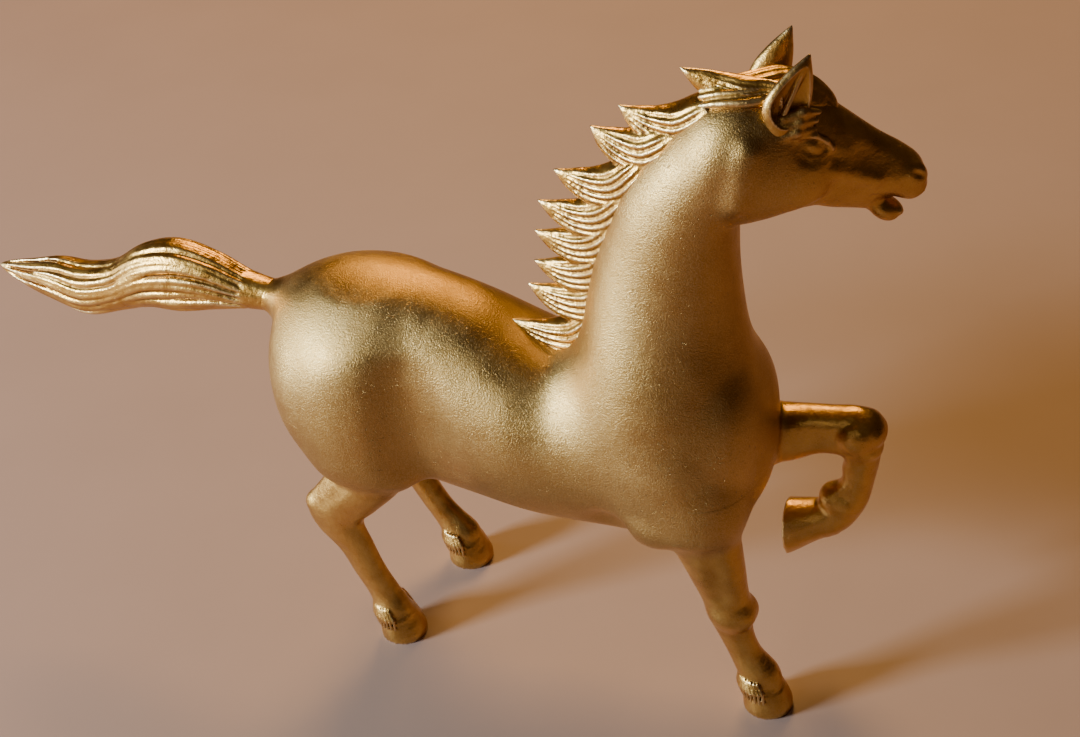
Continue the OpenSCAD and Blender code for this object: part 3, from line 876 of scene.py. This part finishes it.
def lock_mesh(row, number):
    """A flame-shaped lock, grooved along its length, its root in the neck. The top one is flatter."""
    top = number == 0
    rx, rz, tx, tz = row
    tip, root = np.array([tx, tz], float), np.array([rx, rz], float)
    length = np.linalg.norm(root - tip)
    along = (root - tip) / length
    up = np.array([-along[1], along[0]])
    # Share of the length from the tip, rise off the straight line, half height, half thickness
    shape = filled([
        [0, 0, 0.08, 0.1], [0.1, -0.05, 0.9, 0.7], [0.3, -0.13, 2.5, 1.6], [0.55, -0.18, 3.6, 2.5],
        [0.8, -0.15, 4.1, 3.5], [1.0, -0.05, 4.1, 4.3], [1.2, 0.13, 3.7, 4.6], [1.38, 0.32, 2.9, 4.0],
    ], 9)
    if top:
        shape[:, 1] *= 0.4
        shape[:, 2] *= 0.8
        shape[:, 3] *= 0.85 - 0.5 * smoothstep(shape[:, 0], 0.8, 1.2)
    v = np.linspace(-1, 1, 72)
    centre = tip + shape[:, 0:1] * length * along + shape[:, 1:2] * length * up
    way = np.gradient(centre, axis=0)
    way /= np.linalg.norm(way, axis=1)[:, None]
    over = np.stack([-way[:, 1], way[:, 0]], 1)
    share, half = shape[:, 0:1], shape[:, 2:3]
    x = centre[:, 0:1] + over[:, 0:1] * half * v
    z = centre[:, 1:2] + over[:, 1:2] * half * v
    bulge = np.sqrt(np.maximum(1 - np.abs(v) ** (2.0 if top else 3.2), 0))[None]
    out = shape[:, 3:4] * bulge * (1 - 0.2 * v)[None]
    grooves = 8 if top else 6
    wave = np.abs(np.sin(math.pi * grooves * (v[None] + 1) / 2 + 0.22 * np.sin(6 * share + number)))
    fade = smoothstep(share, 0.02, 0.16) * (1 - smoothstep(share, 1.2, 1.4))
    out = out - LOCK_GROOVE * (1 - wave ** 0.75) * fade * np.minimum(bulge, out / 2)
    out = np.maximum(out, 0.02)
    right = np.stack([x, -out, z], -1)
    left = np.stack([x, out, z], -1)
    return skin(np.concatenate([right, left[:, ::-1]], axis=1))


mane_clay = Clay((18, -13, 70), (76, 13, 139), mane_voxel)
for number in range(len(locks) - 1, -1, -1):
    mane_clay.solid(*joined([lock_mesh(locks[number], number)]), 0.1)
from_clay("mane", "mane", POLISHED, mane_clay, 0.0, 1)


# ---------------------------------------------------------------- ears
def ear(name, side):
    """A leaf-shaped ear, hollowed on its outer face, with a rib down the middle; named as its node."""
    def local(run, across, z):
        return head_point(run, side * across, z)
    root, tip = local(6.8, 5.8, 127), local(12.6, 5.6, 139.5)
    axis = tip - root
    length = np.linalg.norm(axis)
    axis /= length
    face = local(0.35, 1, 0.3) - local(0, 0, 0)
    face -= axis * (face @ axis)
    face /= np.linalg.norm(face)
    wide = np.cross(axis, face)
    a = np.linspace(0, 2 * math.pi, 40, endpoint=False)

    def leaf(rows, shift):
        rings = []
        for t, w, d in filled(rows, 6):
            w = w * (1.05 if side < 0 else 0.85)
            c = root + axis * length * t + face * shift
            rings.append(c + w * np.cos(a)[:, None] * wide + d * np.sin(a)[:, None] * face)
        return skin(np.array(rings))

    low = np.minimum(root, tip) - 6
    high = np.maximum(root, tip) + 6
    # Share of the length, half width, half depth
    outside = leaf([[-0.14, 1.0, 1.4], [0, 2.4, 2.1], [0.2, 3.9, 2.1], [0.42, 3.9, 1.8], [0.68, 2.6, 1.2],
                    [0.88, 1.1, 0.6], [1, 0.12, 0.12]], 0)
    inside = leaf([[0.04, 0.5, 0.4], [0.14, 2.3, 1.3], [0.3, 3.3, 1.6], [0.5, 2.9, 1.4], [0.72, 1.7, 1],
                   [0.88, 0.6, 0.5], [0.94, 0.15, 0.1]], 1.35)
    clay, bowl = Clay(low, high, ear_voxel), Clay(low, high, ear_voxel)
    clay.solid(*joined([outside]), 0.1)
    bowl.solid(*joined([inside]), 0.1)
    clay.d = np.maximum(clay.d, -bowl.d)
    rib_foot = root + axis * length * 0.15 + face * 0.5
    rib_top = root + axis * length * 0.85 + face * 0.2
    clay.rod(rib_foot, rib_top, 0.55, 0.3, 0.5)
    return from_clay(name, name, POLISHED, clay, 0.25, 1)


ear("right_ear", -1)
ear("left_ear", 1)


# ---------------------------------------------------------------- forelock
def forelock_parts():
    """A cushion on the forehead under seven strands that run over the poll."""
    rows = [[0.75, 4.5, 133.4, 4.5, 128, 2.6], [0.9, 8, 133.8, 8, 128, 3.2], [1, 12, 132.8, 11.5, 127, 3.8],
            [1, 15.8, 130.5, 14.5, 125.5, 3.3], [1, 18.2, 127.3, 17, 124.4, 1.6]]
    parts = [skin(turned_rings(rows, 24, 5))]
    for k in range(7):
        across = -4.2 + 1.4 * k
        drop = 0.13 * across ** 2
        path = []
        for run, z in ((-5, 132.2), (-1, 133.4), (3, 134), (6, 134.3), (9, 134.2), (12, 133.4), (15, 131.4),
                       (17.6, 128.6), (18.8, 126.4)):
            spread = 0.75 + 0.25 * math.sin(0.3 * run)
            path.append([run, across * spread * (1 - 0.035 * max(run - 12, 0)), z - drop])
        path = filled(path, 4)
        t = np.linspace(0, 1, len(path))
        r = 0.85 * rounded_ends(t) + 0.05
        placed = [head_point(*p, share=min(1, max(0, 0.45 + p[0] / 16))) for p in path]
        parts.append(tube(placed, r, 9))
    return parts


brow = head_point(9, 0, 128)
hair_piece("forelock", DARK, brow - [13, 13, 7], brow + [13, 13, 9], forelock_parts())


# ---------------------------------------------------------------- what stays from the frame
for node_name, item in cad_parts.items():
    material = POLISHED
    if node_name == "belly_plug":
        material = PLUG
    elif node_name.endswith(("dowel", "stud", "pins")):
        material = BRASS
    for slot_of in item.material_slots:
        slot_of.material = material


# ---------------------------------------------------------------- floor and light
def plain(name, colour, rough):
    """A matt, faintly uneven colour."""
    mat, tree, shader = new_material(name)
    noise = tree.nodes.new("ShaderNodeTexNoise")
    noise.inputs["Scale"].default_value = 25
    noise.inputs["Detail"].default_value = 6
    tint = tree.nodes.new("ShaderNodeMix")
    tint.data_type = "RGBA"
    tint.inputs[6].default_value = (*[c * 0.94 for c in colour], 1)
    tint.inputs[7].default_value = (*[min(c * 1.05, 1) for c in colour], 1)
    where = tree.nodes.new("ShaderNodeTexCoord")
    tree.links.new(where.outputs["Object"], noise.inputs["Vector"])
    tree.links.new(noise.outputs["Fac"], tint.inputs[0])
    tree.links.new(tint.outputs[2], shader.inputs["Base Color"])
    shader.inputs["Roughness"].default_value = rough
    return mat


floor_mesh = bpy.data.meshes.new("floor")
floor_mesh.from_pydata([(-3, -3, 0), (3, -3, 0), (3, 3, 0), (-3, 3, 0)], [], [(0, 1, 2, 3)])
floor = bpy.data.objects.new("floor", floor_mesh)
bpy.context.scene.collection.objects.link(floor)
floor_mesh.materials.append(plain("floor", (0.42, 0.27, 0.21), 0.6))


def area_light(name, direction, distance, size, power, colour):
    """A soft light that shines on the middle of the statue from the given direction."""
    data = bpy.data.lights.new(name, "AREA")
    data.shape = "RECTANGLE"
    data.size, data.size_y = size
    data.energy = power
    data.color = colour
    lamp = bpy.data.objects.new(name, data)
    bpy.context.scene.collection.objects.link(lamp)
    away = Vector(direction).normalized()
    lamp.location = STATUE_MIDDLE + away * distance
    lamp.rotation_euler = away.to_track_quat("Z", "Y").to_euler()


STATUE_MIDDLE = Vector((0.02, 0, 0.07))
area_light("window", (-0.73, -0.59, 0.31), 0.9, (0.2, 0.14), 15, (0.74, 0.88, 1.0))
area_light("window_low", (-0.95, -0.1, 0.08), 0.9, (0.3, 0.3), 1.5, (0.85, 0.93, 1.0))
area_light("lamp_behind", (-0.25, 0.75, 0.85), 1.1, (0.4, 0.4), 9, (1.0, 0.60, 0.18))
area_light("fill_front", (-0.2, -0.9, 0.42), 1.2, (0.25, 0.25), 0.6, (1.0, 0.86, 0.64))

world = bpy.data.worlds.new("world")
world.use_nodes = True
background = world.node_tree.nodes["Background"]
background.inputs["Color"].default_value = (0.36, 0.21, 0.12, 1)
background.inputs["Strength"].default_value = 0.11
bpy.context.scene.world = world
